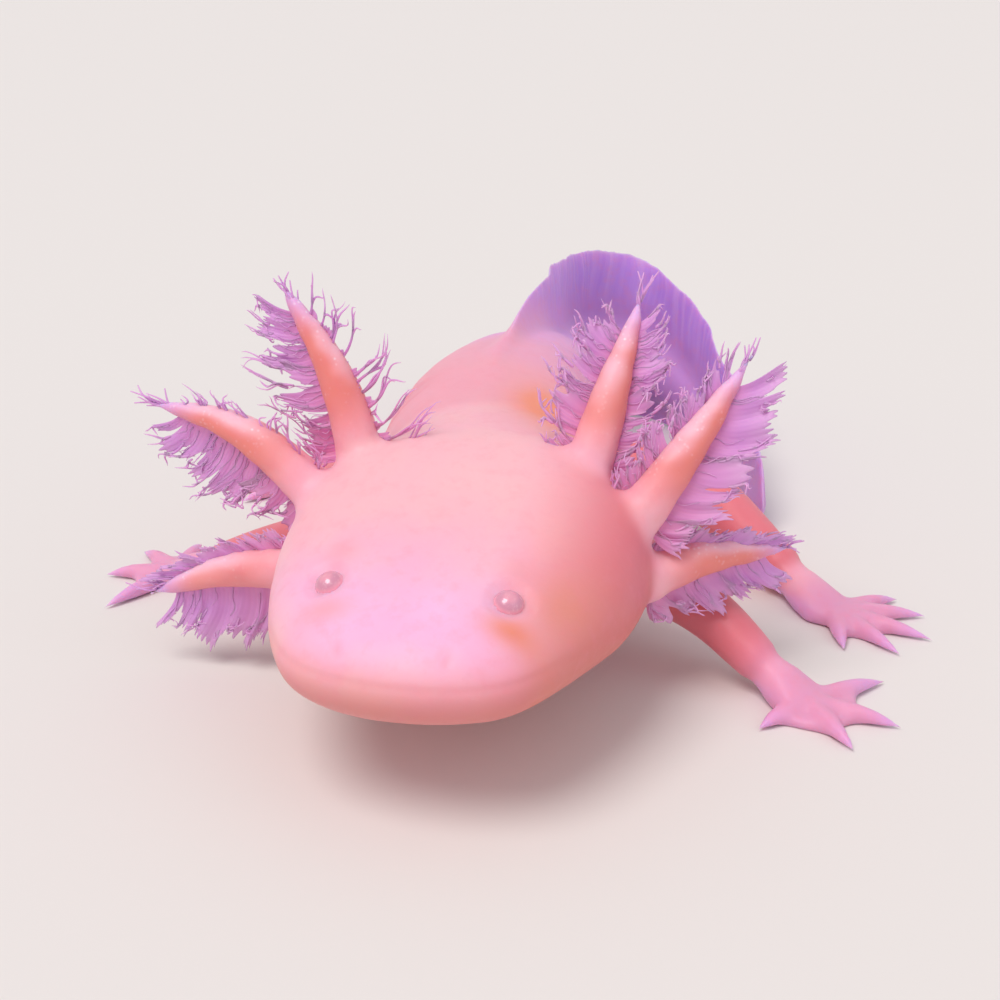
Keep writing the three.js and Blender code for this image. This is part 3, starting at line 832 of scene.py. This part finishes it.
# Threads: fine filaments that lie on the veil
def threads(fringe):
    settings, turn = filamentSettings["thread"], fringe.turn
    share = np.sort(turn.uniform(0.02, 0.98, fringe.style["threads"]))[:, None]
    t = np.linspace(0, 1, settings["rows"])[None]
    start = turn.uniform(0.05, 0.4, share.shape)
    reach = turn.uniform(*settings["reach"], share.shape) * fringe.style["veil"]
    outwards = start * reach + (1 - start) * reach * t
    phase = turn.uniform(3, 9, share.shape) * t + turn.uniform(*anyPhase, share.shape)
    upwards = settings["curl"] * t * np.sin(phase)
    radii = (settings["radius"] * (1 - t) + settings["tip"]) * turn.uniform(0.8, 1.2, share.shape)
    least, more = settings["lift"]
    lift = least + more * t * turn.uniform(-0.2, 1, share.shape)
    paths, facing = fringe.path(share + 0 * t, outwards, 1 + 0 * t, lift, upwards)
    return strandPiece(turn, paths, facing, radii, settings["sides"], share[:, 0], 0.3)


# A wisp of strands that run on past the tip of the stalk
def wisp(fringe):
    settings, turn = filamentSettings["wisp"], fringe.turn
    count = settings["count"]
    rooted = turn.uniform(*settings["rooted"], count)
    root = along(fringe.line, rooted)[:, None]
    t = np.linspace(0, 1, settings["rows"])[None, :, None]
    splay = unit(turn.normal(size=(count, 3)))[:, None] * turn.uniform(*settings["splay"], (count, 1, 1))
    bend = unit(turn.normal(size=(count, 3)))[:, None] * settings["bend"]
    reach = turn.uniform(*settings["reach"], (count, 1, 1))
    paths = root + fringe.heading * reach * t + splay * t ** 1.4 + bend * np.sin(4 * t)
    strand = filamentSettings["strand"]
    radii = 0 * rooted[:, None] + strand["tip"] + (strand["radius"] - strand["tip"]) * (1 - t[:, :, 0])
    return strandPiece(turn, paths, unit(splay) + 0 * paths, radii, settings["sides"], rooted, 0.5)


# In the bake each strand is a patch at its root's place: across by the share up the stalk, and upwards in
# the band of its edge and kind
bakeSettings = {"left": 0.02, "across": 0.95, "bottom": 0.05, "edgeStep": 0.48, "kindStep": 0.12,
                "wispBand": 0.46, "bandUsed": 0.09, "patch": 0.003}


def addBakeMap(mesh, place, band, outwards):
    settings = bakeSettings
    corner = stored(mesh.loops, "vertex_index", 1, np.int32)[:, 0]
    place = place[corner]
    u = settings["left"] + settings["across"] * place + settings["patch"] * (corner % 4) / 4
    v = band[corner] + settings["bandUsed"] * ((place * 997) % 1) + settings["patch"] * outwards[corner]
    bake = mesh.uv_layers.new(name="OFBake")
    bake.data.foreach_set("uv", np.stack([u, v], 1).astype(np.float32).ravel())


def filamentPiece(stalkName, number):
    turn = np.random.default_rng(filamentSettings["firstSeed"] + number)
    parts, bands = [], []
    for row, edge in enumerate(("above", "below")):
        fringe = Fringe(stalkName, edge, turn)
        low = bakeSettings["bottom"] + bakeSettings["edgeStep"] * row
        for index, maker in enumerate((veil, strands, threads)):
            parts.append(maker(fringe))
            bands.append(low + bakeSettings["kindStep"] * index)
    parts.append(wisp(fringe))
    bands.append(bakeSettings["wispBand"])
    points, faces = joined(parts)
    outwards, tint, place = [np.concatenate([part[index] for part in parts]) for index in (2, 3, 4)]
    band = np.repeat(bands, [len(part[0]) for part in parts])
    mesh = bpy.data.meshes.new("filaments_" + stalkName)
    mesh.from_pydata(np.clip(points, filamentLow, boxHigh), [], faces)
    for name, values in (("outwards", outwards), ("strand", tint), ("upEdge", place)):
        storeMask(mesh, name, values)
    addBakeMap(mesh, place, band, outwards)
    shadeSmooth(mesh)
    piece = newObject(stalkName.replace("gill", "filaments"), mesh)
    fringeName = stalkName.replace("gill", "fringe")
    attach(piece, "root")
    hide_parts(f"{fringeName}_above", f"{fringeName}_below")
    return piece


filaments = [filamentPiece(name, number) for number, name in enumerate(nodesOf["stalk"])]
say(f"gill filaments grown, {sum(len(piece.data.polygons) for piece in filaments)} faces")


# Eyes: pale balls set in the skin, with a soft ring and no dark pupil

eyeSettings = {
    "segments": 56,
    "rings": 40,
    "size": 0.985,              # as a share of its solid
    "flat": 0.05,               # how much nearer its front is, as a share of the radius
}


def eyePiece(side):
    shape = bmesh.new()
    bmesh.ops.create_uvsphere(shape, u_segments=eyeSettings["segments"], v_segments=eyeSettings["rings"],
                              radius=1)
    mesh = bpy.data.meshes.new(f"eye_{side}_ball")
    shape.to_mesh(mesh)
    shape.free()
    ball = pointsOf(mesh)
    pole = ball[:, 2]
    # The clear front is a little flatter than the rest
    size = eyeRadius * eyeSettings["size"] * (1 - eyeSettings["flat"] * smooth(0.35, 1, pole))
    turnBy = Vector((0, 0, 1)).rotation_difference(Vector(eyeOutwards[side])).to_matrix()
    setPoints(mesh, (ball * size[:, None]) @ np.array(turnBy).T + eyeCentres[side])
    storeMask(mesh, "fromPole", np.arccos(np.clip(pole, -1, 1)) / math.pi)
    shadeSmooth(mesh)
    piece = newObject(f"eye_{side}_ball", mesh)
    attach(piece, "root")
    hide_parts(f"eye_{side}")
    return piece


eyes = [eyePiece(side) for side in sides]
say("eyes set")


# Materials

# A material, with the fixed inputs of its shader
def newMaterial(name, inputs):
    material = bpy.data.materials.new(name)
    material.use_nodes = True
    tree = material.node_tree
    surface = tree.nodes["Principled BSDF"]
    for key, value in inputs.items():
        surface.inputs[key].default_value = value
    return material, tree, surface


# A shader node with its inputs, each a fixed value or what feeds it, and its settings
def addNode(tree, kindName, inputs, **settings):
    node = tree.nodes.new(kindName)
    for name, value in settings.items():
        setattr(node, name, value)
    for key, value in inputs.items():
        if isinstance(value, bpy.types.NodeSocket):
            tree.links.new(value, node.inputs[key])
        else:
            node.inputs[key].default_value = value
    return node


# A tint over a colour. It comes in as a source goes from one value to another, up to its strength.
def tinted(tree, colour, source, tint, strength, start=0.0, end=1.0):
    share = addNode(tree, "ShaderNodeMapRange", {"Value": source, "From Min": start, "From Max": end,
                                                 "To Max": strength})
    mix = addNode(tree, "ShaderNodeMix", {0: share.outputs["Result"], 6: colour, 7: linear(tint)},
                  data_type="RGBA")
    return mix.outputs[2]


skinLook = {
    "base": "#ffb7c8",
    "mottle": ("#ffc9c6", 0.5, 0.42, 0.68),     # tint, strength, and where in the noise it comes in
    "vessels": ("#ee8f9f", 0.22, 0.5, 0.75),
    "ray": ("#e2c4ee", 0.4),
    "rayAt": (0.42, 0.75),
    "raySize": 1.5 * mm,
    "rayHeight": 0.1 * mm,
    "speck": ("#fff0fa", 0.8),
    "speckSize": 0.55 * mm,
    "poreSize": 0.5 * mm,
    "poreHeight": 0.04 * mm,
    "noises": {"mottle": (6 * mm, 4, 0.5), "vessels": (1.6 * mm, 4, 0.6),       # size, detail, roughness
               "patches": (2 * mm, 3, 0.5), "film": (1.2 * mm, 3, 0.5)},
    "filmRoughness": (0.42, 0.56),
    "lightDepth": 1.8 * mm,
    # Each mark on the skin: its mask, colour and strength, from the lowest layer to the top one
    "marks": (
        ("crown", "#ffc0c6", 0.7),      # peach, where the back is yellower
        ("belly", "#ffd3d6", 0.6),
        ("coralAndShade", "#dc6a74", 0.8),      # painted shade on the head's left side and the flanks; the limbs' own rosier pink
        ("trunk", "#ee9fb2", 0.7),      # rosier than the head
        ("tail", "#daa4ea", 0.85),
        ("snout", "#fbbbe6", 0.7),      # lilac-pink on the muzzle: its own tint with a painted sheen of reflected light
        ("jaw", "#d87c6e", 0.74),       # painted shade below the lip, with painted orange light from the floor
        # painted shade behind each eye
        ("browShade", "#e89698", 0.35),
        ("pale", "#ffcdf2", 0.4),
        # painted shade low on the left of the face
        ("cheekShade", "#e28c62", 0.7),
        # painted shade in the mouth's crease
        ("lipCreaseShade", "#c9746e", 0.12),
        # painted shade in the nostril pits
        ("nostril", "#c4707c", 0.22),
        ("underEye", "#ec8a5e", 0.8),   # orange fleck below each eye
        ("backPatch", "#ff9670", 0.9),
        ("hand", "#e49ec4", 0.88),
        ("finger", "#d4a4ea", 0.6),
        ("farTail", "#bd8ecc", 0.7),
        ("fin", "#c098ea", 0.85),
        ("margin", "#e2c8ec", 0.6),
        ("stalk", "#ea8478", 0.88),
        # painted highlight along the top of each stalk
        ("ridge", "#ffd0e4", 0.75),
        ("stalkTip", "#d8b0f4", 0.9),
    ),
}


# Soft flesh under a thin film: light soaks in and glows pink, and highlights are broad and faint
def skinMaterial():
    material, tree, surface = newMaterial("moist pink skin", {
        "Subsurface Weight": 0.6, "Subsurface Radius": (1.0, 0.5, 0.45),
        "Subsurface Scale": skinLook["lightDepth"], "IOR": 1.38,    # as wet tissue
        "Coat Weight": 0.1, "Coat Roughness": 0.3})
    surface.subsurface_method = "RANDOM_WALK"
    place = addNode(tree, "ShaderNodeTexCoord", {}).outputs["Object"]
    masks = {name: addNode(tree, "ShaderNodeAttribute", {}, attribute_name=name).outputs["Fac"]
             for name in [name for name, _, _ in skinLook["marks"]] + ["finPlace"]}
    noises = {name: addNode(tree, "ShaderNodeTexNoise", {"Vector": place, "Scale": 1 / size,
                                                         "Detail": detail, "Roughness": rough})
              for name, (size, detail, rough) in skinLook["noises"].items()}
    colour = tinted(tree, linear(skinLook["base"]), noises["mottle"].outputs["Fac"], *skinLook["mottle"])
    for name, tint, strength in skinLook["marks"]:
        colour = tinted(tree, colour, masks[name], tint, strength)

    # Rays that run out across the fin
    raysInBody = float(spineLength[-1] / skinLook["raySize"])
    rays = addNode(tree, "ShaderNodeTexNoise", {"W": masks["finPlace"], "Scale": raysInBody, "Detail": 3.0},
                   noise_dimensions="1D")
    start, end = skinLook["rayAt"]
    clear = addNode(tree, "ShaderNodeMapRange", {"Value": rays.outputs["Fac"], "From Min": start,
                                                 "From Max": end})
    onRay = addNode(tree, "ShaderNodeMath", {0: clear.outputs["Result"], 1: masks["fin"]},
                    operation="MULTIPLY").outputs[0]
    colour = tinted(tree, colour, onRay, *skinLook["ray"])

    # Fine blush of vessels
    colour = tinted(tree, colour, noises["vessels"].outputs["Fac"], *skinLook["vessels"])

    # Pale specks in patches up the stalks, most of them on the ridge
    dots = addNode(tree, "ShaderNodeTexVoronoi", {"Vector": place, "Scale": 1 / skinLook["speckSize"]})
    onSpeck = masks["stalk"]
    for source, start, end, low, high in ((dots.outputs["Distance"], 0.05, 0.4, 1, 0),
                                          (noises["patches"].outputs["Fac"], 0.5, 0.65, 0, 1),
                                          (masks["ridge"], 0, 1, 0.3, 1)):
        share = addNode(tree, "ShaderNodeMapRange", {"Value": source, "From Min": start, "From Max": end,
                                                     "To Min": low, "To Max": high})
        onSpeck = addNode(tree, "ShaderNodeMath", {0: onSpeck, 1: share.outputs["Result"]},
                          operation="MULTIPLY").outputs[0]
    colour = tinted(tree, colour, onSpeck, *skinLook["speck"])
    tree.links.new(colour, surface.inputs["Base Color"])

    # The film is uneven, over fine pores and the rays of the fin
    low, high = skinLook["filmRoughness"]
    sheen = addNode(tree, "ShaderNodeMapRange", {"Value": noises["film"].outputs["Fac"],
                                                 "To Min": low, "To Max": high})
    tree.links.new(sheen.outputs["Result"], surface.inputs["Roughness"])
    pores = addNode(tree, "ShaderNodeTexVoronoi", {"Vector": place, "Scale": 1 / skinLook["poreSize"]})
    poreBump = addNode(tree, "ShaderNodeBump", {"Height": pores.outputs["Distance"], "Strength": 0.2,
                                                "Distance": skinLook["poreHeight"]})
    rayBump = addNode(tree, "ShaderNodeBump", {"Height": onRay, "Strength": 0.6,
                                               "Distance": skinLook["rayHeight"],
                                               "Normal": poreBump.outputs["Normal"]})
    tree.links.new(rayBump.outputs["Normal"], surface.inputs["Normal"])
    return material


filamentLook = {
    "low": "#e292bc",                           # at the foot of the stalk
    "high": ("#d296d6", 1.0, 0.1, 0.75),        # tint, strength, and where it comes in
    "root": ("#ee98b8", 0.55, 0.4, 0.0),
    "tip": ("#e8b2e4", 0.85, 0.45, 0.95),
    "streak": ("#be80c4", 0.5),
    "lightDepth": 0.4 * mm,
}


# Soft mauve threads, pink at the foot of the stalk and where they root, paler at their tips
def filamentMaterial():
    material, tree, surface = newMaterial("mauve gill filament", {
        "Subsurface Weight": 0.5, "Subsurface Radius": (1.0, 0.7, 0.9),
        "Subsurface Scale": filamentLook["lightDepth"], "Roughness": 0.5})
    masks = {name: addNode(tree, "ShaderNodeAttribute", {}, attribute_name=name).outputs["Fac"]
             for name in ("upEdge", "outwards", "strand")}
    colour = linear(filamentLook["low"])
    for maskName, tintName in (("upEdge", "high"), ("outwards", "root"), ("outwards", "tip"),
                               ("strand", "streak")):
        colour = tinted(tree, colour, masks[maskName], *filamentLook[tintName])
    tree.links.new(colour, surface.inputs["Base Color"])
    return material


eyeLook = {
    # From the middle of the eye outwards, as shares of the way round the ball
    "rings": ((0.0, "#ee9fb4"), (0.12, "#eb9cb2"), (0.2, "#d992ac"), (0.3, "#d893ab"), (0.38, "#f2a6b8"),
              (0.6, "#f2a6b6")),
    "fleck": ("#ffdcdf", 0.3, 0.52, 0.75),
    "fleckSize": 0.35 * mm,
}


# A wet clear ball over a pale iris: pink middle, greyish ring, light flecks, and one sharp highlight
def eyeMaterial():
    material, tree, surface = newMaterial("pale glossy eye", {
        "Roughness": 0.3, "Coat Weight": 1.0, "Coat Roughness": 0.04})
    fromPole = addNode(tree, "ShaderNodeAttribute", {}, attribute_name="fromPole")
    ramp = addNode(tree, "ShaderNodeValToRGB", {"Fac": fromPole.outputs["Fac"]})
    stops = ramp.color_ramp.elements
    # A ramp has two stops to start with
    for number, (position, tint) in enumerate(eyeLook["rings"]):
        stop = stops[number] if number < 2 else stops.new(position)
        stop.position = position
        stop.color = linear(tint)
    place = addNode(tree, "ShaderNodeTexCoord", {}).outputs["Object"]
    flecks = addNode(tree, "ShaderNodeTexNoise", {"Vector": place, "Scale": 1 / eyeLook["fleckSize"],
                                                  "Detail": 3.0})
    colour = tinted(tree, ramp.outputs["Color"], flecks.outputs["Fac"], *eyeLook["fleck"])
    tree.links.new(colour, surface.inputs["Base Color"])
    return material


def dress(piece, material):
    piece.data.materials.clear()
    piece.data.materials.append(material)


dress(axolotlSkin, skinMaterial())
gillThread = filamentMaterial()
for piece in filaments:
    dress(piece, gillThread)
eyeGloss = eyeMaterial()
for piece in eyes:
    dress(piece, eyeGloss)


# Floor, light and camera

stageSettings = {
    "floorSide": 6.0,
    "floor": "#e6e3df",
    "world": ("#f4f2f6", 0.62),
    "lights": {                                             # place, breadth in degrees, strength, tint
        "key": ((-0.22, -0.2, 0.58), 32, 1.68, "#fff8f6"),
        "fill": ((0.5, -0.3, 0.33), 50, 0.25, "#f2f2ff"),
    },
    "cameraOffset": (3.9 * mm, -129.5 * mm, 61.9 * mm),     # from the middle of the head
    "cameraDown": 22,                                       # degrees
    "lens": 52.2,
}


def plainFloor():
    side = stageSettings["floorSide"] / 2
    mesh = bpy.data.meshes.new("floor")
    corners = [(-side, -side, 0), (side, -side, 0), (side, side, 0), (-side, side, 0)]
    mesh.from_pydata(corners, [], [(0, 1, 2, 3)])
    floor = newObject("floor", mesh)
    # Matt painted board: it takes soft shadows and has no glint
    material, _, _ = newMaterial("pale matt floor", {"Base Color": linear(stageSettings["floor"]),
                                                     "Roughness": 0.85})
    dress(floor, material)


# A broad even light from a place, so far off that the floor is lit alike all over
def broadLight(name, place, spread, strength, tint):
    light = bpy.data.lights.new(name, "SUN")
    light.angle = math.radians(spread)
    light.energy = strength
    light.color = linear(tint)[:3]
    lamp = newObject(name, light)
    lamp.location = place
    lamp.rotation_euler = (-Vector(place)).to_track_quat("-Z", "Y").to_euler()


def softLight():
    world = bpy.data.worlds.new("soft studio")
    world.use_nodes = True
    background = world.node_tree.nodes["Background"]
    tint, strength = stageSettings["world"]
    background.inputs["Color"].default_value = linear(tint)
    background.inputs["Strength"].default_value = strength
    bpy.context.scene.world = world
    for name, settings in stageSettings["lights"].items():
        broadLight(name, *settings)


def addCamera():
    lens = bpy.data.cameras.new("camera")
    lens.sensor_width = 36
    lens.lens = stageSettings["lens"]
    lens.clip_start = 0.005
    camera = newObject("camera", lens)
    camera.location = Vector(headMiddle) + Vector(stageSettings["cameraOffset"])
    camera.rotation_euler = (math.radians(90 - stageSettings["cameraDown"]), 0, 0)
    bpy.context.scene.camera = camera


plainFloor()
softLight()
addCamera()
bpy.context.scene.view_settings.view_transform = "Standard"
say("stage set")
